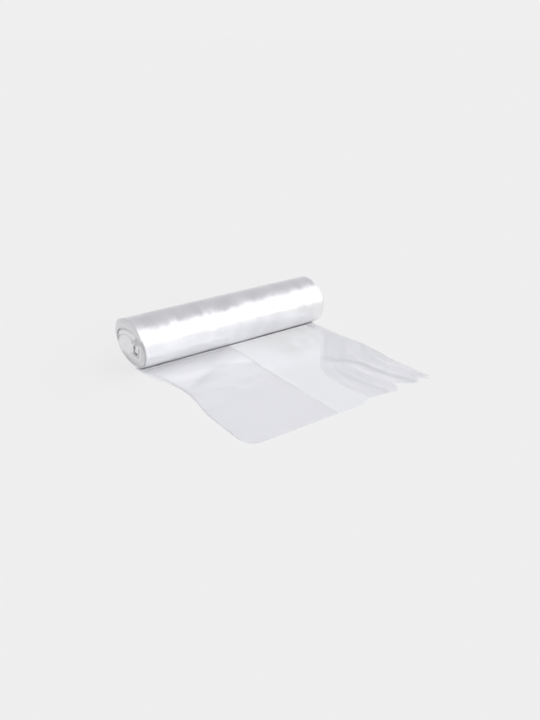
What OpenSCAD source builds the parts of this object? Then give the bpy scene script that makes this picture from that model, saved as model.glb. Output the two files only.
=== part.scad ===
// Roll of clear film sacks with side gussets, wound without a core, and the first
// sack drawn out flat in front of it. The film is one unbroken web, so the roll and
// the loose sack are one solid. Each modelled turn stands for a bundle of real ones.
// X runs along the roll, the loose sack lies towards -Y and Z is up. The origin is
// on the surface that the roll lies on, below the middle of the roll's axis.

/* [Film web] */
// Width of the folded web, which is the length of the roll
web_w = 350; // [310:5:420]
// Thickness of each of the two leaves of the folded web
leaf_t = 0.7; // [0.5:0.05:0.9]
// Clear space between the two leaves, inside a side gusset
slit_t = 0.35; // [0.2:0.05:0.5]
// Thickness of the strip between the gussets, where the web has two layers fewer
strip_t = 0.8; // [0.5:0.05:1.2]

/* [Roll] */
// Diameter over the outermost turn
roll_d = 87; // [70:1:110]
// Clear space between two turns where they lie tightest
turn_gap = 0.35; // [0.25:0.05:0.6]
// Diameter of the hollow eye
eye_d = 15; // [10:1:24]
// How far the eye lies in front of the roll's middle
eye_front = 8; // [0:0.5:10]
// How far the eye lies below the roll's middle
eye_drop = 5; // [0:0.5:8]
// Share of the eye's offset that the slack outer turns take
slack = 0.4; // [0:0.05:0.6]
// Width of the flat spot that the soft roll rests on
flat_w = 14; // [4:1:24]
// Width of the groove round the middle, where the two gussets meet
groove_w = 8; // [7:1:16]
// Depth of that groove
groove_h = 0.5; // [0.2:0.05:0.65]

/* [Turn ends] */
// How far the outermost turn stands out at the near end, high at the back
lip = 7; // [0:0.5:12]
// How far the inner turns sit back at the near end
dish = 4; // [0:0.5:8]
// How far the turns sway to and fro
sway = 1.2; // [0:0.1:2]

/* [Loose sack] */
// Reach of the loose sack in front of the roll's axis
sack_reach = 302; // [220:2:400]
// How far the loose sack runs off to the side
drift = 14; // [0:1:30]
// How much each side edge is drawn in between the roll and the flat part
pinch = 10; // [0:1:16]
// How much the right side edge is drawn in at the front
tuck = 11; // [0:1:20]
// Radius of the rounded front corner
corner_r = 22; // [10:1:40]
// How far the ragged front edge is set back between its tips
rag = 6; // [0:0.5:12]

/* [Gussets] */
// Depth of the left gusset
gusset_l = 153; // [110:1:165]
// Depth of the right gusset, which is drawn part of the way out
gusset_r = 120; // [110:1:150]
// How far the right gusset's inner fold waves
fold_wave = 14; // [0:1:20]
// Width of the slope at an inner fold
fold_run = 3; // [1:0.5:3.5]
// How far the left gusset swells in its middle
swell = 1.2; // [0:0.1:3]

/* [Creases] */
// Height of the creases in the right gusset at the front edge
crease_h = 5; // [1:0.5:8]
// Half width of a crease
crease_w = 7; // [4:0.5:8]
// Distance of the inner crease from the gusset's fold
crease_a = 36; // [25:1:38]
// Distance of the outer crease from the gusset's fold, near the roll
crease_b = 55; // [55:1:65]
// Distance of the outer crease from the gusset's fold, at the front edge
crease_b_front = 90; // [70:1:90]
// How far the right side edge stands up at the front
edge_lift = 3; // [0:0.5:6]

/* [Fineness] */
// Sections along all the wound turns
turn_sections = 400; // [300:20:500]
// Sections along the loose sack
sack_sections = 18; // [12:1:30]

/* [Hidden] */
film_colour = [0.86, 0.88, 0.92];
turn_t = 2 * leaf_t + slit_t;
turn_step = turn_t + turn_gap;
roll_r = roll_d / 2;
flat_sink = roll_r - sqrt(roll_r * roll_r - flat_w * flat_w / 4);
axis_z = roll_r - flat_sink;
eye_off = norm([eye_front, eye_drop]);
eye_way = eye_off > 0 ? [-eye_front, -eye_drop] / eye_off : [0, 0];
turns = (roll_r - turn_t - eye_d / 2 - eye_off) / turn_step;
// Turns over which the outer web lies slack, and where they begin
slack_start = 0.5;
slack_turns = 3;
// Turns along which the near end's lip grows and fades again, and where it ends
lip_ease = 0.24;
lip_end = 0.72;
// Where the inner turns begin to sit back, the turns over which they do, and the angle
// of sway for each turn
dish_start = 0.7;
dish_turns = 2;
sway_pace = 230;
// Turns whose outside shows, and so carries the groove, and the turns it fades over
groove_turns = 1.1;
groove_fade = 0.08;
// How much closer the sections lie on the outer turns than on the inner ones
fineness = 1.5;
// Shares of the loose sack's reach: where its first section beside the roll lies, over
// which the slits deepen, from which the creases rise and the side edge is drawn in,
// and over which the sack leaves the roll
beside_roll = 0.02;
slit_grow = 0.25;
crease_start = 0.35;
tuck_start = 0.65;
leave = 0.45;
fold_l = -web_w / 2 + drift + gusset_l;
fold_r = web_w / 2 + drift - gusset_r;
// Distance from an inner fold to the bottom of its gusset's slit
slit_back = 2;
// Depth of the slits beside the roll, where they begin
slit_start = 6;

// Smooth step from 0 to 1
function ramp(x) = let(u = max(0, min(1, x))) u * u * (3 - 2 * u);
// Smooth hill of height 1 between -1 and 1
function hill(x) = abs(x) < 1 ? (1 + cos(180 * x)) / 2 : 0;
function mix(a, b, share) = a + (b - a) * share;

// The wound web, by the turns counted inwards from where it leaves the surface
function off_at(t) =
    eye_off * (slack * ramp((t - slack_start) / slack_turns) + (1 - slack) * t / turns);
function radius_at(t) = roll_r - turn_step * t - off_at(t);
function shift_at(t) =
    dish * ramp((t - dish_start) / dish_turns)
    - lip * ramp(t / lip_ease) * ramp((lip_end - t) / lip_ease)
    + sway * ramp(t - dish_start) * sin(sway_pace * t);

// A point of the winding, depth below the web's outer face
function wound_point(t, depth) =
    let(
        radius = radius_at(t) - depth,
        middle = [0, axis_z] + off_at(t) * eye_way,
        angle = 360 * t - 90
    )
    [
        middle.x + radius * cos(angle),
        max(middle.y + radius * sin(angle), middle.y - radius + flat_sink)
    ];

// A section of the winding: outer face, far edge, inner face and near edge
function wound_ring(t) =
    let(
        outer = wound_point(t, 0),
        fade = ramp(t / groove_fade) * ramp((groove_turns - t) / groove_fade),
        bed = wound_point(t, groove_h * fade),
        inner = wound_point(t, turn_t),
        x0 = -web_w / 2 + shift_at(t),
        x1 = web_w / 2 + shift_at(t),
        groove = [[-groove_w / 2, outer], [0, bed], [groove_w / 2, outer]],
        face = t < groove_turns ? groove : [],
        corners = [[x1, outer], [x1, inner], [x0, inner]]
    )
    [
        [for (p = concat([[x0, outer]], face, corners)) [p[0], p[1].x, p[1].y]],
        [len(face) + 1, 1, 1, 1]
    ];

// Lines of the loose sack, at share v of its reach
function left_edge(v) =
    -web_w / 2 + drift * ramp(v / leave) + pinch * hill((v - 0.4) / 0.35);
function right_edge(v) =
    web_w / 2 + drift * ramp(v / leave)
    - pinch * hill((v - 0.25) / 0.25) - tuck * ramp((v - tuck_start) / (1 - tuck_start));
function inner_fold_r(v) =
    mix(fold_l + groove_w, fold_r, ramp(v / leave)) - fold_wave * hill((v - 0.8) / 0.25);
function slit_end_l(v) =
    mix(left_edge(v) + slit_start, fold_l - slit_back, ramp(v / slit_grow));
function slit_end_r(v) =
    mix(right_edge(v) - slit_start, inner_fold_r(v) + slit_back, ramp(v / slit_grow));

// A column of a section of the loose sack: its x, how far the front edge is set back
// there, and how far the top rises above the two flat leaves
function left_columns(v) =
    let(
        x = left_edge(v),
        scale = (slit_end_l(v) - x) / (fold_l - slit_back - x),
        rise = swell * ramp((v - 0.15) / 0.3)
    )
    concat(
        [for (a = [0:30:90])
            [x + corner_r * (1 - cos(a)) * scale, corner_r * (1 - sin(a)), 0]],
        [for (share = [0.4, 0.7]) [x + share * gusset_l * scale, 0, rise]]
    );
function strip_columns(v) =
    let(drop = strip_t - turn_t, x = inner_fold_r(v))
    [
        [fold_l, 0, 0],
        [fold_l + fold_run, 0, drop],
        [x - fold_run, rag, drop],
        [x, 1.5 * rag, 0]
    ];
function right_columns(v) =
    let(
        x = right_edge(v),
        inner = inner_fold_r(v),
        scale = (x - slit_end_r(v)) / (x - inner - slit_back),
        a = crease_a,
        b = mix(crease_b, crease_b_front, ramp((v - leave) / leave)),
        rise = crease_h * ramp((v - crease_start) / 0.5),
        lift = edge_lift * ramp((v - leave) / (1 - leave)),
        plan = [
            [a - crease_w, 0.8 * rag, 0],
            [a, 0, rise],
            [a + crease_w, 0.6 * rag, 0],
            [b - crease_w, rag, 0],
            [b, 0.5 * rag, rise],
            [b + crease_w, rag, 0],
            [x - inner, 0, lift]
        ]
    )
    [for (c = plan) [x - (x - inner - c[0]) * scale, c[1], c[2]]];

function place(v, column, z) =
    [column[0], column[1] * ramp((v - leave) / (1 - leave)) - v * sack_reach, z];

// A section of the loose sack: underside, right edge with its slit, top, left edge
function sack_ring(v) =
    let(
        left = left_columns(v),
        right = right_columns(v),
        end_l = [slit_end_l(v), 0, 0],
        end_r = [slit_end_r(v), 1.2 * rag, 0],
        all = concat(left, [end_l], strip_columns(v), [end_r], right),
        back = [for (i = [len(all) - 1:-1:0]) all[i]],
        right_back = [for (i = [len(right) - 1:-1:0]) right[i]],
        left_back = [for (i = [len(left) - 1:-1:0]) left[i]],
        slit_z = leaf_t + slit_t / 2
    )
    [
        concat(
            [for (c = all) place(v, c, 0)],
            [for (c = right_back) place(v, c, leaf_t)],
            [place(v, end_r, slit_z)],
            [for (c = right) place(v, c, turn_t - leaf_t + c[2])],
            [for (c = back) place(v, c, turn_t + c[2])],
            [for (c = left) place(v, c, turn_t - leaf_t + c[2])],
            [place(v, end_l, slit_z)],
            [for (c = left_back) place(v, c, leaf_t)]
        ),
        [len(all) - 1, 2 * len(right) + 2, len(all) - 1, 2 * len(left) + 2]
    ];

// Running totals of a list
function sums(list) =
    [for (i = 0, total = 0; i <= len(list); total = total + (i < len(list) ? list[i] : 0),
        i = i + 1) total];

// Triangles between one side of a section and the same side of the next. The sides run
// from point a to point b, with na and nb steps, and na or nb may be the larger
function side_faces(a, na, b, nb) = concat(
    [for (i = [0:na - 1])
        let(j = max(0, min(nb, ceil((i + 0.5) / na * nb - 0.500001))))
        [a[i], a[i + 1], b[j]]],
    [for (j = [0:nb - 1])
        let(i = max(0, min(na, floor((j + 0.5) / nb * na + 0.500001))))
        [a[i], b[j + 1], b[j]]]
);

// Point numbers along side k of a section whose points start at number first
function side_points(ring, first, k) =
    let(start = sums(ring[1])[k], count = len(ring[0]))
    [for (i = [0:ring[1][k]]) first + (start + i) % count];

// Two triangles that share the way from a to c
function quad(a, b, c, d) = [[a, b, c], [a, c, d]];

// Triangles of the loose sack's front edge, leaf by leaf
function front_faces(v) =
    let(
        nl = len(left_columns(v)),
        ns = len(strip_columns(v)),
        nr = len(right_columns(v)),
        n = nl + ns + nr + 2,
        low = function(i) i,
        high = function(i) 2 * (n + nr) - i,
        low_slit = function(i) i <= nl ? 2 * (n + nr + nl) + 1 - i : 2 * n - 1 - i,
        high_slit = function(i) i <= nl ? 2 * (n + nr) + 1 + i : 2 * nr + 1 + i,
        leaves = concat([for (i = [0:nl - 1]) i], [for (i = [nl + ns + 1:n - 2]) i])
    )
    concat(
        [for (i = leaves) for (f = quad(low(i), low_slit(i), low_slit(i + 1), low(i + 1))) f],
        [for (i = leaves) for (f = quad(high_slit(i), high(i), high(i + 1), high_slit(i + 1))) f],
        [for (i = [nl + 1:nl + ns - 1]) for (f = quad(low(i), high(i), high(i + 1), low(i + 1))) f],
        quad(low(nl), low_slit(nl), high(nl + 1), low(nl + 1)),
        [[low_slit(nl), high(nl), high(nl + 1)]],
        quad(low(nl + ns), high(nl + ns), low_slit(nl + ns + 1), low(nl + ns + 1)),
        [[low_slit(nl + ns + 1), high(nl + ns), high(nl + ns + 1)]]
    );

module bag_web() {
    sack = [for (i = [0:sack_sections]) sack_ring(mix(1, beside_roll, i / sack_sections))];
    wound = [for (i = [0:turn_sections])
        wound_ring(turns * pow(i / turn_sections, fineness))];
    rings = concat(sack, wound);
    firsts = sums([for (ring = rings) len(ring[0])]);
    walls = [for (n = [0:len(rings) - 2]) for (k = [0:3]) for (f = side_faces(
        side_points(rings[n], firsts[n], k), rings[n][1][k],
        side_points(rings[n + 1], firsts[n + 1], k), rings[n + 1][1][k])) f];
    last = firsts[len(rings) - 1];
    color(film_colour)
        polyhedron(
            [for (ring = rings) for (p = ring[0]) p],
            concat(
                front_faces(1),
                walls,
                quad(last, last + 1, last + 2, last + 3)
            ),
            convexity = 20
        );
}

bag_web();
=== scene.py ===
# Roll of clear film sacks, with the first sack drawn out flat in front of it.
# Shapes are worked out in millimetres, and each mesh is scaled to metres at its end.
import math

import bmesh
import bpy
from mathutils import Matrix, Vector, noise


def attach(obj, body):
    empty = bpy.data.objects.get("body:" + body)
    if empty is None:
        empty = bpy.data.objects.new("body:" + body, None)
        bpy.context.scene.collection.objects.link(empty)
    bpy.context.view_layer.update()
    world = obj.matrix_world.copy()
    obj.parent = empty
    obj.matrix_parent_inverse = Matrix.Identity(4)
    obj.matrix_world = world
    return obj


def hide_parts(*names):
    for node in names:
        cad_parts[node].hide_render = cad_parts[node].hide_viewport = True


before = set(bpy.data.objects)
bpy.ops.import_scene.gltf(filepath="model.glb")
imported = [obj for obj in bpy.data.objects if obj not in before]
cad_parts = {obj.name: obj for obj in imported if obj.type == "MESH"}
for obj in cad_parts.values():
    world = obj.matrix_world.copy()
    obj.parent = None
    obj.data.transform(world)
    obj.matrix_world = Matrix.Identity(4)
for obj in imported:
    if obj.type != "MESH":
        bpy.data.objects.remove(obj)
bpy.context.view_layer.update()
scene = bpy.context.scene
mm = 0.001
print("packed model loaded")


def ramp(x):
    x = min(max(x, 0.0), 1.0)  # smooth step from 0 to 1
    return x * x * (3 - 2 * x)


def between(x, start, rise, end, fall):
    return ramp((x - start) / rise) * ramp((end - x) / fall)  # eases in and out again


def hill(x):
    return (1 + math.cos(math.pi * x)) / 2 if abs(x) < 1 else 0.0


def mix(a, b, share):
    return a + (b - a) * share


def readTable(table, x):
    for (x0, y0), (x1, y1) in zip(table, table[1:]):
        if x <= x1:
            return mix(y0, y1, max(x - x0, 0) / (x1 - x0))
    return table[-1][1]


def unevenAt(a, b, seed):
    return noise.noise(Vector((a, b, seed)))


def addNode(tree, kind, inputs=None, **settings):
    node = tree.nodes.new(kind)
    for name, value in settings.items():
        setattr(node, name, value)
    for name, value in (inputs or {}).items():
        node.inputs[name].default_value = value
    return node


def join(tree, *pairs):
    for start, end in pairs:
        tree.links.new(start, end)


def newMaterial(name):
    material = bpy.data.materials.new(name)
    material.use_nodes = True
    tree = material.node_tree
    tree.nodes.clear()
    output = addNode(tree, "ShaderNodeOutputMaterial")
    return material, tree, output


def filmGrid(columns, rows, shape, size):
    bm = bmesh.new()  # a flat grid with its own UV map in metres, then shaped point by point
    bmesh.ops.create_grid(bm, x_segments=columns, y_segments=rows, size=0.5)
    bmesh.ops.translate(bm, vec=(0.5, 0.5, 0), verts=bm.verts)
    layer = bm.loops.layers.uv.new("film")
    for face in bm.faces:
        face.smooth = True
        for loop in face.loops:
            loop[layer].uv = (loop.vert.co.x * size[0], loop.vert.co.y * size[1])
    # every point also carries its painted shade, which the materials use to darken its colour
    paintedShade = bm.verts.layers.float.new("paintedShade")
    for vert in bm.verts:
        vert.co, vert[paintedShade] = shape(vert.co.x, vert.co.y)
    return bm


def finishPiece(bm, name, material):
    bmesh.ops.scale(bm, vec=(mm, mm, mm), verts=bm.verts)
    mesh = bpy.data.meshes.new(name)
    bm.to_mesh(mesh)
    bm.free()
    mesh.materials.append(material)
    piece = bpy.data.objects.new(name, mesh)
    scene.collection.objects.link(piece)
    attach(piece, "root")
    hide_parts("bag_web")
    print(f"{name}: {len(mesh.polygons)} faces")
    return piece


def addWall(piece, thickness, offset):
    wall = piece.modifiers.new("wall", "SOLIDIFY")
    wall.thickness = thickness * mm
    wall.offset = offset
    wall.use_even_offset = False


view = {
    "place": (-0.5975, -0.9619, 0.4923), "aim": (0.0172, -0.1002, 0.0),
    "lens": 35.935, "sensor": 36,
}

cameraData = bpy.data.cameras.new("camera")
cameraData.lens = view["lens"]
cameraData.sensor_width = view["sensor"]
camera = bpy.data.objects.new("camera", cameraData)
camera.location = view["place"]
sight = Vector(view["aim"]) - Vector(view["place"])
camera.rotation_euler = sight.to_track_quat("-Z", "Y").to_euler()
scene.collection.objects.link(camera)
scene.camera = camera
scene.view_settings.view_transform = "Standard"
scene.cycles.transparent_max_bounces = 32  # the loose sack has eight film faces in line
scene.cycles.glossy_bounces = 12  # light that goes to and fro in the wedge under the roll
print("camera placed")


# a pale floor, a pale backdrop, and one big soft light from the front

studio = {
    "floorSize": 60,
    "floorGlow": 0.75, "glowStrength": 1.04,  # how much of the floor's light comes from under it
    "floorTone": (0.92, 0.92, 0.92, 1),
    "backdrop": (0.863, 0.863, 0.863, 1),
    "lowSky": (0.66, 0.66, 0.68, 1), "highSky": (0.58, 0.575, 0.60, 1),
    "nearSky": (1.56, 1.56, 1.57, 1),
    "lightFacing": (0.56, -0.609, -0.5616),  # the light fills the side of the sky this points to
    "lightBlur": 0.15,
    # heights over the horizon, as sines
    "backdropTop": (0.04, 0.26), "lightFoot": (-0.08, 0.12), "skyRun": (0.26, 0.75),
}


def buildWorld():
    world = bpy.data.worlds.new("studio")
    scene.world = world
    world.use_nodes = True
    tree = world.node_tree
    tree.nodes.clear()
    way = addNode(tree, "ShaderNodeTexCoord")
    axes = addNode(tree, "ShaderNodeSeparateXYZ")
    facing = addNode(tree, "ShaderNodeVectorMath", operation="DOT_PRODUCT")
    facing.inputs[1].default_value = studio["lightFacing"]

    def step(low, high):
        return addNode(tree, "ShaderNodeMapRange", {"From Min": low, "From Max": high},
                       interpolation_type="SMOOTHSTEP")

    def blend(first=None, second=None):
        node = addNode(tree, "ShaderNodeMix", data_type="RGBA")
        for socket, colour in ((6, first), (7, second)):
            if colour:
                node.inputs[socket].default_value = colour
        return node

    inLight = step(-studio["lightBlur"], studio["lightBlur"])
    overBackdrop, upSky = step(*studio["backdropTop"]), step(*studio["skyRun"])
    upLight = step(*studio["lightFoot"])
    nearSide = blend(studio["backdrop"], studio["nearSky"])
    farSky = blend(studio["lowSky"], studio["highSky"])
    farSide = blend(studio["backdrop"])
    sky = blend()
    light = addNode(tree, "ShaderNodeBackground")
    plain = addNode(tree, "ShaderNodeBackground", {"Color": studio["backdrop"]})
    path = addNode(tree, "ShaderNodeLightPath")
    either = addNode(tree, "ShaderNodeMixShader")
    output = addNode(tree, "ShaderNodeOutputWorld")
    join(tree,
         (way.outputs["Generated"], axes.inputs[0]),
         (way.outputs["Generated"], facing.inputs[0]),
         (facing.outputs["Value"], inLight.inputs["Value"]),
         (axes.outputs["Z"], overBackdrop.inputs["Value"]),
         (axes.outputs["Z"], upSky.inputs["Value"]),
         (axes.outputs["Z"], upLight.inputs["Value"]),
         (upSky.outputs["Result"], farSky.inputs[0]),
         (overBackdrop.outputs["Result"], farSide.inputs[0]),
         (farSky.outputs[2], farSide.inputs[7]),
         (upLight.outputs["Result"], nearSide.inputs[0]),
         (inLight.outputs["Result"], sky.inputs[0]),
         (farSide.outputs[2], sky.inputs[6]),
         (nearSide.outputs[2], sky.inputs[7]),
         (sky.outputs[2], light.inputs["Color"]),
         (path.outputs["Is Camera Ray"], either.inputs[0]),
         (light.outputs[0], either.inputs[1]),
         (plain.outputs[0], either.inputs[2]),
         (either.outputs[0], output.inputs["Surface"]))


def buildFloor():
    material, tree, output = newMaterial("pale_floor")
    matt = addNode(tree, "ShaderNodeBsdfDiffuse", {"Color": studio["floorTone"]})
    glow = addNode(tree, "ShaderNodeEmission",
                   {"Color": studio["backdrop"], "Strength": studio["glowStrength"]})
    both = addNode(tree, "ShaderNodeMixShader", {"Fac": studio["floorGlow"]})
    join(tree, (matt.outputs[0], both.inputs[1]), (glow.outputs[0], both.inputs[2]),
         (both.outputs[0], output.inputs["Surface"]))
    bm = bmesh.new()
    bmesh.ops.create_grid(bm, x_segments=1, y_segments=1, size=studio["floorSize"] / 2)
    mesh = bpy.data.meshes.new("floor")
    bm.to_mesh(mesh)
    bm.free()
    mesh.materials.append(material)
    floor = bpy.data.objects.new("floor", mesh)
    scene.collection.objects.link(floor)


buildWorld()
buildFloor()
print("studio built")


woundFilm = {
    "white": (0.98, 0.98, 0.99, 1), "grey": (0.75, 0.75, 0.77, 1), "metallic": 0.85,
    # the ends and inner turns use a paler, less metallic copy of the film, its colour lightened
    # as painted light so the shaded end face reads brighter
    "edgeWhite": (1.0, 1.0, 1.0, 1), "edgeGrey": (0.96, 0.96, 0.975, 1), "edgeMetallic": 0.5,
    # the tone that painted shade darkens the wound film towards
    "paintedDark": (0.42, 0.415, 0.44, 1),
    "rough": (0.285, 0.37),  # under about 0.28 the denoiser draws a line round each patch
    "coat": 0.3, "coatRough": 0.10, "ior": 1.5,
    "stretch": (1, 0.5, 1),  # creases run round the roll
    "cloud": {"Scale": 38.0, "Detail": 4.0, "Roughness": 0.55}, "cloudRange": (0.3, 0.7),
    "crease": {"Scale": 38.0, "Detail": 2.0, "Roughness": 0.45, "Distortion": 0.3},
    "crinkle": {"Strength": 1.0, "Distance": 0.0032},
}
# the gussets cling, and look hazier than the strip between them
clearFilm = {
    "colour": (0.91, 0.915, 0.95, 1), "alpha": 0.122,
    "stripColour": (0.82, 0.86, 1.0, 1), "stripAlpha": 0.055,
    # the tone that the clear film's painted shade darkens it towards
    "paintedFilmDark": (0.30, 0.31, 0.36, 1),
    "metallic": 0.75, "rough": 0.16, "ior": 1.5,
    "crease": {"Scale": 90.0, "Detail": 3.0, "Roughness": 0.55, "Distortion": 0.4},
    "crinkle": {"Strength": 0.2, "Distance": 0.0006},
}


def addCreases(tree, body, place, film):
    crease = addNode(tree, "ShaderNodeTexNoise", film["crease"])
    bump = addNode(tree, "ShaderNodeBump", film["crinkle"])
    join(tree,
         (place, crease.inputs["Vector"]),
         (crease.outputs["Fac"], bump.inputs["Height"]),
         (bump.outputs["Normal"], body.inputs["Normal"]))


def addPaintedShade(tree, body, paintedDark):
    # the film darkens by its painted shade attribute towards a painted dark tone; returns the
    # socket of its colour without painted shade
    paintedShade = addNode(tree, "ShaderNodeAttribute", attribute_name="paintedShade")
    shaded = addNode(tree, "ShaderNodeMix", data_type="RGBA")
    shaded.inputs[7].default_value = paintedDark
    join(tree,
         (paintedShade.outputs["Fac"], shaded.inputs[0]),
         (shaded.outputs[2], body.inputs["Base Color"]))
    return shaded.inputs[6]


def buildWoundFilm(name, white, grey, metallic, creased):
    material, tree, output = newMaterial(name)
    body = addNode(tree, "ShaderNodeBsdfPrincipled",
                   {"Metallic": metallic, "IOR": woundFilm["ior"],
                    "Coat Weight": woundFilm["coat"], "Coat Roughness": woundFilm["coatRough"]})
    uv = addNode(tree, "ShaderNodeUVMap", uv_map="film")
    stretch = addNode(tree, "ShaderNodeMapping", {"Scale": woundFilm["stretch"]})
    cloud = addNode(tree, "ShaderNodeTexNoise", woundFilm["cloud"])
    colour = addNode(tree, "ShaderNodeMix", data_type="RGBA")
    colour.inputs[6].default_value = grey
    colour.inputs[7].default_value = white
    (least, most), (finest, dullest) = woundFilm["cloudRange"], woundFilm["rough"]
    rough = addNode(tree, "ShaderNodeMapRange",
                    {"From Min": least, "From Max": most, "To Min": finest, "To Max": dullest})
    join(tree,
         (uv.outputs["UV"], stretch.inputs["Vector"]),
         (stretch.outputs["Vector"], cloud.inputs["Vector"]),
         (cloud.outputs["Fac"], colour.inputs[0]),
         (colour.outputs[2], addPaintedShade(tree, body, woundFilm["paintedDark"])),
         (cloud.outputs["Fac"], rough.inputs["Value"]),
         (rough.outputs["Result"], body.inputs["Roughness"]),
         (body.outputs[0], output.inputs["Surface"]))
    if creased:
        addCreases(tree, body, stretch.outputs["Vector"], woundFilm)
    return material


def buildClearFilm(name, colour, alpha):
    material, tree, output = newMaterial(name)
    body = addNode(tree, "ShaderNodeBsdfPrincipled",
                   {"Metallic": clearFilm["metallic"], "Roughness": clearFilm["rough"],
                    "IOR": clearFilm["ior"], "Alpha": alpha})
    uv = addNode(tree, "ShaderNodeUVMap", uv_map="film")
    addPaintedShade(tree, body, clearFilm["paintedFilmDark"]).default_value = colour
    addCreases(tree, body, uv.outputs["UV"], clearFilm)
    join(tree, (body.outputs[0], output.inputs["Surface"]))
    return material


woundMaterial = buildWoundFilm("wound_film", woundFilm["white"], woundFilm["grey"],
                               woundFilm["metallic"], True)
# a paler copy of the wound film, lightened as painted light, for the ends and the turns within
edgeMaterial = buildWoundFilm("wound_film_edges", woundFilm["edgeWhite"], woundFilm["edgeGrey"],
                              woundFilm["edgeMetallic"], False)
gussetMaterial = buildClearFilm("gusset_film", clearFilm["colour"], clearFilm["alpha"])
stripMaterial = buildClearFilm("strip_film", clearFilm["stripColour"], clearFilm["stripAlpha"])
print("films mixed")


# the winding, whose turns are counted inwards from where the web leaves the floor. An end of
# (start, rise, end, fall) is where something eases in and out, mostly by degrees round from
# the floor

winding = {
    "width": 350,
    "radius": 43.5, "meanRadius": 42.5,  # of the roll, and of its outermost turn
    "axisHeight": 42.93,
    "sink": 0.57,  # the soft roll's flat spot
    "outerStep": 2.1,  # what the folded outer sack takes up
    "step": 0.6,
    "eyeStep": 1.35, "eyeFrom": 35,  # the last turns lie looser round the eye
    "turns": 38, "lastTurn": 39.5,
    "solidTurns": 11.82,  # in the solid, where each turn stands for several
    "eyeWay": (-8 / 9.434, -5 / 9.434), "eyeOff": 9.434,
    "outerOff": 0.758, "earlyShare": 0.4, "earlyFrom": 0.5, "earlyRun": 3,
    "slack": ((1.0, 1.0, 0.45), (5.3, 1.0, 0.6), (10.2, 0.6, 0.6), (17.3, 0.5, 0.7)),
    # the far end, as the roll was pushed sideways
    "lip": 7, "lipReach": (0, 0.24, 0.72, 0.24),
    "dish": 2.5, "dishFrom": 0.9, "dishRun": 0.4,
    "sway": 1.0, "swayFrom": 0.7, "swayPace": 230,
    # the near rim, by degrees round from the floor: it leans out at the top and the back
    "rim": ((0, 3.5), (20, 1.5), (50, -3.5), (70, -6.5), (90, -8.5), (105, -9.5),
            (120, -10.5), (135, -12), (148, -14), (160, -13.5), (180, -10), (210, -6),
            (230, -4), (260, -1), (285, 0.5), (360, 3.5)),
    "rimMiddle": -3.5, "rimPower": 1.6,
    "faceBack": 1.6, "faceFrom": 0.95, "faceRun": 0.3, "faceReach": (70, 30, 280, 20),
    # loose turns in front of and below the eye sit deep
    "recess": 9, "recessAt": 32.6, "recessRun": 2.4,
    "recessSide": (-125, 30, 50, 30), "recessBelow": (-65, 25, 45, 25),
}


def solidTurn(turn):
    # the same place by the solid's own count of turns
    late = (turn - 1) * (winding["solidTurns"] - 1) / (winding["turns"] - 1)
    return turn if turn <= 1 else 1 + late


def frontRadius(turn):
    w = winding  # reach from the roll's middle where the turns lie tightest
    if turn <= 1:
        return w["radius"] - w["outerStep"] * turn
    tight = min(turn, w["eyeFrom"]) - 1
    loose = max(turn - w["eyeFrom"], 0)
    return w["radius"] - w["outerStep"] - w["step"] * tight - w["eyeStep"] * loose


def eyeShift(turn):
    w = winding  # how far this turn's middle has moved towards the eye
    turn = min(turn, w["turns"])
    early = min(turn, 1.0)
    moved = w["eyeOff"] * mix(early / w["solidTurns"],
                              ramp((early - w["earlyFrom"]) / w["earlyRun"]), w["earlyShare"])
    if turn <= 1:
        return moved
    gaps = sum(size * ramp((turn - start) / run) for start, size, run in w["slack"])
    rest = w["eyeOff"] - w["outerOff"] - sum(size for start, size, run in w["slack"])
    return moved + gaps + rest * (turn - 1) / (w["turns"] - 1)


def farShift(turn):
    w = winding
    t = solidTurn(turn)
    sway = w["sway"] * ramp(t - w["swayFrom"]) * math.sin(math.radians(w["swayPace"] * t))
    dish = w["dish"] * ramp((t - w["dishFrom"]) / w["dishRun"])
    return sway - dish - w["lip"] * between(t, *w["lipReach"])


def recessed(turn):
    w = winding
    degrees = (360 * turn + 180) % 360 - 180  # round from the floor, where it is 0
    ring = hill((turn - w["recessAt"]) / w["recessRun"])
    if turn > w["recessAt"]:
        ring = max(ring, between(degrees, *w["recessBelow"]))
    return ring * between(degrees, *w["recessSide"])


def nearRim(turn):
    w = winding  # where along the roll this turn ends at the near side
    degrees = 360 * turn % 360
    share = (frontRadius(turn) - eyeShift(turn)) / w["radius"]
    lean = (readTable(w["rim"], degrees) - w["rimMiddle"]) * share ** w["rimPower"]
    back = w["faceBack"] * ramp((turn - w["faceFrom"]) / w["faceRun"])
    back *= between(degrees, *w["faceReach"])
    return w["rimMiddle"] + lean + back + w["recess"] * recessed(turn) - w["width"] / 2


def woundPoint(x, turn, depth):
    w = winding
    shift = eyeShift(turn)
    radius = frontRadius(turn) - shift - depth
    middleY = shift * w["eyeWay"][0]
    middleZ = w["axisHeight"] + shift * w["eyeWay"][1]
    angle = math.radians(360 * turn - 90)
    y = middleY + radius * math.cos(angle)
    z = max(middleZ + radius * math.sin(angle), middleZ - radius + w["sink"])
    return Vector((x, y, z))


def moveInwards(place, inset):
    radial = Vector((0, place.y, place.z - winding["axisHeight"]))
    return place - radial.normalized() * inset


def curveOver(start, corner, end, share):
    # a point on the bend from start over the corner to the end, each (along the roll, inwards)
    first = [mix(a, b, share) for a, b in zip(start, corner)]
    second = [mix(a, b, share) for a, b in zip(corner, end)]
    return tuple(mix(a, b, share) for a, b in zip(first, second))


# the outermost turn, the only one whose side shows. It starts as a tongue on the loose
# sack, and at the near end it closes in over the face like an eyelid

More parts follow.
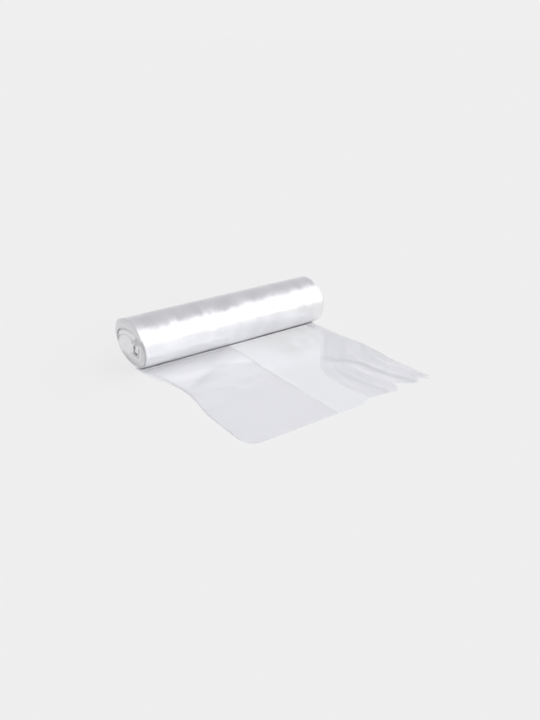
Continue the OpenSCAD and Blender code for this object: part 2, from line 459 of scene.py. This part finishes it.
outerTurn = {
    "wall": 0.4, "columns": 200, "lidColumns": 34, "rows": 176, "film": (0.37, 0.29),
    "end": 1.02, "endEase": 0.06,
    # tongueShade, eased by tongueDark: painted shade on the tongue where the roll meets the loose
    # sack
    "tongue": 18, "tongueHeight": 1.2, "tongueShade": (0.2, 0.0), "tongueDark": (12.5, 5.5),
    "skin": 0.35,  # how far the smooth film lies under the roll's own round
    "room": 1.36, "roomLost": 1.5, "roomTight": 0.9,  # over the next turn, and lost on the way
    "grooveWidth": 4, "grooveDepth": 0.6, "grooveSway": 1.2, "swayRound": 14,
    "waveAlong": 46, "waveRound": 24, "wave": 0.6, "waveCalm": 0.3,
    "rippleAlong": 17, "rippleRound": 26, "ripple": 0.2, "rippleReach": (150, 30, 320, 30),
    # painted shade where the light dies away in the wedge under the roll, most of all at the far
    # end
    "lowShade": 0.22, "lowFrom": 306, "lowRun": 24, "lowFar": 2.6, "lowAlong": 150,
    # the lid by degrees round from the floor: how far it closes in, and how far it leans out
    "drop": ((60, 0), (75, 2), (90, 5), (105, 8.5), (124, 12.5), (144, 15.5), (176, 15.5),
             (196, 14.5), (210, 14), (226, 11), (244, 7), (259, 4), (268, 1.5), (275, 0)),
    "out": ((90, 0.5), (105, 0.2), (120, -0.5), (135, -0.5), (148, 1.1), (160, 0.8),
            (180, -1.4), (196, -1.6), (210, -1), (270, 0)),
    "uneven": 0.05, "unevenRound": 16,
    "lidStart": -166, "bendFrom": 0.25, "bend": 3, "bendDrop": 9,
    # painted shade over the lid, deepest at its hem, and a painted dark line along the front of
    # the rim
    "lidShade": 0.3, "lidDeep": 6, "hemShade": 0.55, "hemFrom": 0.88, "hemRun": 0.08,
    "rimShade": 0.8, "rimReach": (238, 14, 335, 14), "rimWidth": 3.2, "rimEase": 1.2,
}


def lidPoint(along, degrees, rim):
    # from the roll's side over the bend to the hem: place along the roll, inset and painted shade
    o = outerTurn
    if along < o["bendFrom"]:
        return mix(o["lidStart"], rim + o["bend"], along / o["bendFrom"]), 0.0, 0.0
    along = (along - o["bendFrom"]) / (1 - o["bendFrom"])
    uneven = o["uneven"] * unevenAt(degrees / o["unevenRound"], 0.5, 4.4)
    drop = readTable(o["drop"], degrees) * (1 + uneven)
    corner = (rim - o["bend"] * ramp(drop / o["bendDrop"]), 0)
    hem = (rim + readTable(o["out"], degrees), drop)
    x, inset = curveOver((rim + o["bend"], 0), corner, hem, along)
    # painted shade on the lid and its hem, and a painted dark line by the front rim
    paintedDark = mix(o["lidShade"] * ramp(along * 2), o["hemShade"],
               ramp((along - o["hemFrom"]) / o["hemRun"])) * ramp(drop / o["lidDeep"])
    front = between(degrees, *o["rimReach"]) * ramp((rim + o["rimWidth"] - x) / o["rimEase"])
    return x, inset, max(paintedDark, o["rimShade"] * front)


def outerPoint(a, b):
    o = outerTurn
    length = 2 * math.pi * winding["meanRadius"]
    turn = mix(-o["tongue"] / length, o["end"], b)
    arc, degrees = turn * length, 360 * turn
    column = a * (o["columns"] + o["lidColumns"])
    if column < o["lidColumns"]:
        x, inset, paintedDark = lidPoint(1 - column / o["lidColumns"], degrees, nearRim(max(turn, 0)))
    else:
        far = winding["width"] / 2 + farShift(max(turn, 0))
        x = mix(o["lidStart"], far, (column - o["lidColumns"]) / o["columns"])
        inset, paintedDark = 0.0, 0.0
    if turn < 0:
        # painted shade on the tongue, for the dark line where the roll meets the floor
        start, run = o["tongueDark"]
        paintedDark = mix(*o["tongueShade"], ramp((-arc - start) / run))
        return Vector((x, arc, o["tongueHeight"])), paintedDark
    room = o["room"] - o["roomLost"] * turn
    tight = 1 - ramp(room / o["roomTight"])
    wave = unevenAt(x / o["waveAlong"], arc / o["waveRound"], 3.1)
    wave = o["wave"] * (wave + tight) * (1 - o["waveCalm"] * tight)
    ripple = o["ripple"] * unevenAt(x / o["rippleAlong"], arc / o["rippleRound"], 8.7)
    ripple *= between(degrees, *o["rippleReach"])
    edge = (x + o["grooveSway"] * unevenAt(arc / o["swayRound"], 0, 2)) / o["grooveWidth"]
    groove = o["grooveDepth"] * ramp(2 - 2 * abs(edge))
    depth = min(o["skin"], room) + min(groove, max(room - o["skin"], 0)) - wave - ripple
    # nothing moves where the turn begins and ends
    free = ramp(min(turn, o["end"] - turn) / o["endEase"])
    # painted shade in the wedge under the roll, more towards the far end
    low = o["lowShade"] * mix(1, o["lowFar"], ramp(x / o["lowAlong"]))
    paintedDark = max(paintedDark, low * ramp((degrees - o["lowFrom"]) / o["lowRun"]))
    return moveInwards(woundPoint(x, turn, mix(o["tongueHeight"], depth, free)), inset), paintedDark


bm = filmGrid(outerTurn["columns"] + outerTurn["lidColumns"], outerTurn["rows"],
              outerPoint, outerTurn["film"])
bmesh.ops.reverse_faces(bm, faces=bm.faces)
outerPiece = finishPiece(bm, "outer_turn", woundMaterial)
outerPiece.data.materials.append(edgeMaterial)
addWall(outerPiece, outerTurn["wall"], -1)
outerPiece.modifiers["wall"].material_offset = 1  # its inner side

# the end of the second turn closes in behind it, further down over the face

secondLid = {
    "wall": 0.4, "columns": 40, "rows": 110, "film": (0.05, 0.15),
    "from": 66, "to": 272, "depth": 0.8,
    "drop": ((66, 1.5), (80, 4), (95, 9), (107, 14), (122, 20), (146, 24.5), (180, 26),
             (202, 27), (224, 27), (236, 22), (250, 13), (262, 5), (272, 2)),
    "uneven": 0.06, "unevenRound": 20,
    "rootIn": 5, "rootUnder": 5, "rootLeast": 1, "bend": 0.5, "leastDrop": 0.6,
    "behind": 1.8, "behindBack": 0.2, "behindFrom": 112, "behindRun": 36,
    # painted shade over the second lid, and darker by its hems from these degrees on
    "paintedShade": 0.3, "hemShade": 0.6, "shadeFrom": 112, "shadeRun": 30,
    # by inset: painted shade under the first lid's hem, at its own hem, and where both hems lie
    # close
    "underHem": (3.5, 2), "atHem": (1.3, 0.8), "closeHems": 4,
}


def secondPoint(a, b):
    s = secondLid
    degrees = mix(s["from"], s["to"], b)
    turn = degrees / 360
    rim = nearRim(turn)
    first = readTable(outerTurn["drop"], degrees)
    root = max(first - s["rootUnder"], s["rootLeast"])
    uneven = s["uneven"] * unevenAt(degrees / s["unevenRound"], 1.5, 2.4)
    drop = max(readTable(s["drop"], degrees) * (1 + uneven), root + s["leastDrop"])
    behind = mix(s["behindBack"], 1, ramp((degrees - s["behindFrom"]) / s["behindRun"]))
    face = rim + readTable(outerTurn["out"], degrees) + s["behind"] * behind
    x, inset = curveOver((rim + s["rootIn"], root), (face, root + s["bend"]), (face, drop), 1 - a)
    (reach, run), (width, ease) = s["underHem"], s["atHem"]
    # painted shade under the first lid's hem and at this lid's own hem
    paintedDark = max(ramp((first + reach - inset) / run), ramp((inset - drop + width) / ease))
    paintedDark *= ramp((drop - first) / s["closeHems"])
    paintedDark *= ramp((degrees - s["shadeFrom"]) / s["shadeRun"])
    place = moveInwards(woundPoint(x, turn, s["depth"]), inset)
    return place, mix(s["paintedShade"], s["hemShade"], paintedDark)


bm = filmGrid(secondLid["columns"], secondLid["rows"], secondPoint, secondLid["film"])
bmesh.ops.reverse_faces(bm, faces=bm.faces)
secondPiece = finishPiece(bm, "second_turn_end", edgeMaterial)
addWall(secondPiece, secondLid["wall"], -1)

# the inner turns, one sheet wound to the eye

innerTurns = {
    "wall": 0.57, "columns": 8, "perTurn": 64, "film": (0.35, 6.0),
    "crowd": 3, "endOnly": 12,  # powers that keep columns and unevenness to the two ends
    "jitter": 0.3, "jitterPace": 0.83, "curl": 0.15, "curlPace": 6.3,
    # only the near side of the sheet carries painted shade
    "nearSide": 0.3,  # only the near side of the sheet is shaded
    # painted shade under the second lid, by inset, and not where it is too short
    "underLid": 0.5, "lidReach": (3.5, 2), "lidTo": 262, "lidFrom": 95, "lidRun": 30, "noLid": -9,
    # painted shade towards the bottom, by height from lowFrom down to lowTo
    "lowShade": 0.5, "lowFrom": 28, "lowTo": 8,  # by height
    # painted shade on the face between the eye and the front rim
    "frontShade": 0.32, "frontReach": (210, 30, 345, 30), "frontInset": (14, 6),
    # painted shade round the loop in the eye, and in the recessed turns
    "eyeShade": 0.5, "eyeMiddle": (-17.5, 37), "eyeReach": (7.5, 10.5),
    "eyeRing": 1.5, "ringWidth": 0.6, "ringTop": (0.9, 0.4), "deepRing": 1.6,
}


# the painted shade's ring round the loop in the eye
def eyeRing(place):
    n = innerTurns
    (middleY, middleZ), (reachY, reachZ) = n["eyeMiddle"], n["eyeReach"]
    across, up = (place.y - middleY) / reachY, (place.z - middleZ) / reachZ
    top, ease = n["ringTop"]
    ring = hill((math.hypot(across, up) - 1) / n["ringWidth"])
    return n["eyeRing"] * ring * ramp((top - up) / ease)


# painted shade on the near ends of the turns: under the second lid, towards the bottom, by the
# front rim, in the recess and round the eye
def innerShade(place, turn):
    n = innerTurns
    degrees = 360 * turn % 360
    reach = Vector((place.y, place.z - winding["axisHeight"])).length
    inset = winding["meanRadius"] - reach
    covered = secondLid["from"] < degrees < n["lidTo"]
    drop = readTable(secondLid["drop"], degrees) if covered else n["noLid"]
    edge, ease = n["lidReach"]
    under = ramp((drop + edge - inset) / ease) * ramp((degrees - n["lidFrom"]) / n["lidRun"])
    low = ramp((n["lowFrom"] - place.z) / (n["lowFrom"] - n["lowTo"]))
    edge, ease = n["frontInset"]
    front = between(degrees, *n["frontReach"]) * ramp((edge - inset) / ease)
    deep = ramp(max(n["deepRing"] * recessed(turn), eyeRing(place)))
    return max(n["underLid"] * under, n["lowShade"] * low, n["frontShade"] * front,
               n["eyeShade"] * deep)


def innerPoint(a, b):
    n = innerTurns
    turn = 1 + b * (winding["lastTurn"] - 1)
    side = 2 * a - 1
    share = (1 + math.copysign(1 - (1 - abs(side)) ** n["crowd"], side)) / 2
    nearEnd = abs(side) ** n["endOnly"]
    uneven = n["jitter"] * unevenAt(turn * n["jitterPace"], side * 3, 5.5) * nearEnd
    curl = n["curl"] * unevenAt(turn * n["curlPace"], side * 5, 1.5) * nearEnd
    x = mix(nearRim(turn), winding["width"] / 2 + farShift(turn), share)
    place = woundPoint(x + uneven, turn, curl)
    return place, innerShade(place, turn) if a <= n["nearSide"] else 0.0


rows = int(innerTurns["perTurn"] * (winding["lastTurn"] - 1))
bm = filmGrid(innerTurns["columns"], rows, innerPoint, innerTurns["film"])
bmesh.ops.reverse_faces(bm, faces=bm.faces)
innerPiece = finishPiece(bm, "wound_turns", edgeMaterial)
addWall(innerPiece, innerTurns["wall"], 0)
print("roll wound")


# the loose sack: a flattened tube whose sides are folded in as gussets. Depth is told as a
# share of its reach, from under the roll's axis to the front

sack = {
    "columns": (60, 24, 24, 160, 24, 24), "rows": 92, "film": (1.25, 0.302),
    "wall": 0.12, "weld": 0.001,
    "reach": 302, "corner": 22,
    "drift": 14, "leave": 0.45, "pinch": 10, "pinchAt": 0.4, "pinchRun": 0.35,
    "right": ((0, 175), (0.1, 172), (0.2, 169), (0.3, 174), (0.42, 182), (0.5, 184),
              (0.6, 181), (0.7, 178), (0.85, 179), (1, 178)),
    "gussetLeft": 153,
    # the right gusset's fold runs in under the roll, far over to the right
    "fold": ((0, 156), (0.18, 156), (0.23, 151), (0.3, 134), (0.4, 107), (0.5, 82),
             (0.56, 68), (0.65, 57), (0.77, 53), (0.9, 57), (1, 63)),
    "foldRun": 5,
    # the right gusset's ragged front edge: across from the fold, and how far it is drawn back
    "rag": ((0, 9), (20, 7), (43, 2), (49, 2), (57, 24), (62, 23), (74, 13), (90, 3), (94, 4),
            (99, 17), (108, 8), (115, 1), (130, 0)),
    "ragEase": 30,
    "layers": (0.25, 0.65, 1.05, 1.45),  # underside, lower and upper gusset, top
    "follow": (0.0, 0.35, 0.75, 1.0),  # how far each layer follows the top's relief
    "packed": 0.6, "packedRun": 0.4,  # the layers lie closer under the roll
    "stripDrop": 0.75,
    # creases of the right gusset: across from the fold near the roll and at the front,
    # height and width
    "creases": ((62, 88, 3.5, 7), (44, 55, 2.5, 8), (20, 32, 2, 9), (92, 112, 2.5, 7)),
    "creaseFrom": 0.35, "creaseRun": 0.5, "creaseSharp": 1.3, "creaseTurn": (0.4, 0.6),
    "edgeLift": 3, "liftWide": 26,
    "billow": 5.5, "billowAt": 62, "billowRun": 58, "billowUneven": (0.8, 0.4, 60),
    "wave": 0.5, "waveSize": 38, "waveEase": 0.1, "lowest": -0.3,
}
# painted shade on the clear film, darker along its creases and where it would mirror the roll
paintedFilmShades = {
    # painted shade over the left gusset's panel, where the film would mirror the roll's bright
    # side, in front of the roll's axis: from where, by place along the roll, and to
    "panelFrom": ((-175, 122), (-146, 108), (-64, 64), (-16, 88), (5, 100)),
    "panelTo": 152, "panelEase": (12, 30), "panelShade": 0.2,
    # painted shade on the strip, near the roll
    "near": 0.6, "nearTo": (0.5, 0.25), "nearFrom": (10, 60),
    "nearUneven": 0.8, "nearAlong": 14, "nearPace": 12,
    # painted shade on the right gusset: a dark streak along a crease that runs out to the front,
    # by depth and across from the fold
    "streak": ((0.45, 5), (0.53, 22), (0.58, 50), (0.68, 72), (0.85, 78), (1, 89)),
    "streakShade": 0.3, "streakFrom": (0.4, 0.15),
    "streakWide": 9, "widening": 1.8, "wideTo": (0.5, 0.3),
    "bandShade": 0.12, "bandReach": (0, 0.2, 0.92, 0.4),
    "lobe": (30, 22), "lobeShade": 0.14, "lobeFrom": (0.5, 0.2),
    "wisp": 0.12, "wispAcross": 9, "wispPace": 4, "wispFrom": (0.2, 0.3),
}
leftFold = -winding["width"] / 2 + sack["drift"] + sack["gussetLeft"]


def easeFrom(x, start, run):
    return ramp((x - start) / run)


def leftEdge(v):
    s = sack
    return (-winding["width"] / 2 + s["drift"] * ramp(v / s["leave"])
            + s["pinch"] * hill((v - s["pinchAt"]) / s["pinchRun"]))


def rightEdge(v):
    return readTable(sack["right"], v)


def rightFold(v):
    return readTable(sack["fold"], v)


def setBack(x, v):
    s = sack  # how far the front edge is drawn back, in its ragged line and its round corner
    inCorner = leftEdge(v) + s["corner"] - x
    beyondFold = x - rightFold(v)
    if inCorner > 0:
        return s["corner"] - math.sqrt(max(s["corner"] ** 2 - inCorner ** 2, 0))
    if beyondFold > 0:
        return readTable(s["rag"], beyondFold)
    return s["rag"][0][1] * ramp((beyondFold + s["ragEase"]) / s["ragEase"])


def relief(x, v):
    s = sack  # how far the top film rises over a flat sack
    y, fold = v * s["reach"], rightFold(v)
    grown = easeFrom(v, s["creaseFrom"], s["creaseRun"])
    height = 0.0
    for near, front, high, wide in s["creases"]:
        at = mix(near, front, easeFrom(v, *s["creaseTurn"]))
        height += high * grown * max(1 - abs(x - fold - at) / wide, 0) ** s["creaseSharp"]
    lift = easeFrom(x, rightEdge(v) - s["liftWide"], s["liftWide"])
    height += s["edgeLift"] * lift * easeFrom(v, s["leave"], 1 - s["leave"])
    least, more, along = s["billowUneven"]
    height += s["billow"] * hill((y - s["billowAt"]) / s["billowRun"]) * (
        least + more * unevenAt(x / along, 0.3, 0.9))
    spot = Vector((x / s["waveSize"], y / s["waveSize"], 0.5))
    height += s["wave"] * noise.fractal(spot, 1.0, 2.0, 3) * ramp(v / s["waveEase"])
    return max(height, s["lowest"])


# painted shade on the clear film: it damps the left panel and the strip near the roll, and
# darkens the right gusset along its creases
def paintedFilmShadeAt(x, v):
    c = paintedFilmShades
    across = x - rightFold(v)
    if x < leftFold:
        rise, fall = c["panelEase"]
        start = readTable(c["panelFrom"], x)
        return c["panelShade"] * between(v * sack["reach"], start, rise, c["panelTo"], fall)
    if across < 0:
        end, fall = c["nearTo"]
        near = c["near"] * ramp((end - v) / fall) * easeFrom(x, *c["nearFrom"])
        uneven = unevenAt(x / c["nearAlong"], v * c["nearPace"], 2.6)
        return near * (1 + c["nearUneven"] * uneven)
    streak = readTable(c["streak"], v)
    wide = c["streakWide"] * mix(c["widening"], 1, easeFrom(v, *c["wideTo"]))
    paintedDark = c["streakShade"] * hill((across - streak) / wide) * easeFrom(v, *c["streakFrom"])
    if across > streak:
        paintedDark = max(paintedDark, c["bandShade"] * between(v, *c["bandReach"]))
    middle, width = c["lobe"]
    lobe = c["lobeShade"] * hill((across - middle) / width) * easeFrom(v, *c["lobeFrom"])
    spot = Vector((across / c["wispAcross"], v * c["wispPace"], 6.6))
    wisp = c["wisp"] * noise.fractal(spot, 1.0, 2.0, 2) * easeFrom(v, *c["wispFrom"])
    return min(max(paintedDark, lobe) + wisp, 1)


def sackPoint(a, b):
    s = sack
    v = b
    # which part of the tube this column is in: underside, right gusset, top, left gusset
    counts = s["columns"]
    column = round(a * sum(counts))
    start, part = 0, 0
    while part < len(counts) - 1 and column >= start + counts[part]:
        start += counts[part]
        part += 1
    share = (column - start) / counts[part]
    left, right, fold = leftEdge(v), rightEdge(v), rightFold(v)
    ends = ((left, right), (right, fold), (fold, right),
            (right, left), (left, leftFold), (leftFold, left))
    layerOf = (0, 1, 2, 3, 2, 1)
    x = mix(*ends[part], share)
    rise = relief(x, v)
    packed = mix(s["packed"], 1, ramp(v / s["packedRun"]))

    def layerHeight(layer):
        return packed * s["layers"][layer] + s["follow"][layer] * rise

    z = layerHeight(layerOf[part])
    if layerOf[part] == 3:
        z -= s["stripDrop"] * between(x, leftFold, s["foldRun"], fold, s["foldRun"])
    if share == 0:  # a fold lies halfway between its two layers
        z = (z + layerHeight(layerOf[part - 1])) / 2
    elif share == 1:
        z = (z + layerHeight(layerOf[0])) / 2
    y = setBack(x, v) * easeFrom(v, s["leave"], 1 - s["leave"]) - v * s["reach"]
    return Vector((x, y, z)), max(paintedFilmShadeAt(x, v), 0)


bm = filmGrid(sum(sack["columns"]), sack["rows"], sackPoint, sack["film"])
seam = [vert for vert in bm.verts if vert.is_boundary]
bmesh.ops.remove_doubles(bm, verts=seam, dist=sack["weld"])
for face in bm.faces:
    middle = face.calc_center_median()
    if leftFold < middle.x < rightFold(-middle.y / sack["reach"]):
        face.material_index = 1  # the strip between the gussets
sackPiece = finishPiece(bm, "loose_sack", gussetMaterial)
sackPiece.data.materials.append(stripMaterial)
addWall(sackPiece, sack["wall"], 0)
sackPiece.visible_shadow = False  # clear film spreads light on, so it leaves hardly a shadow
print("loose sack laid")
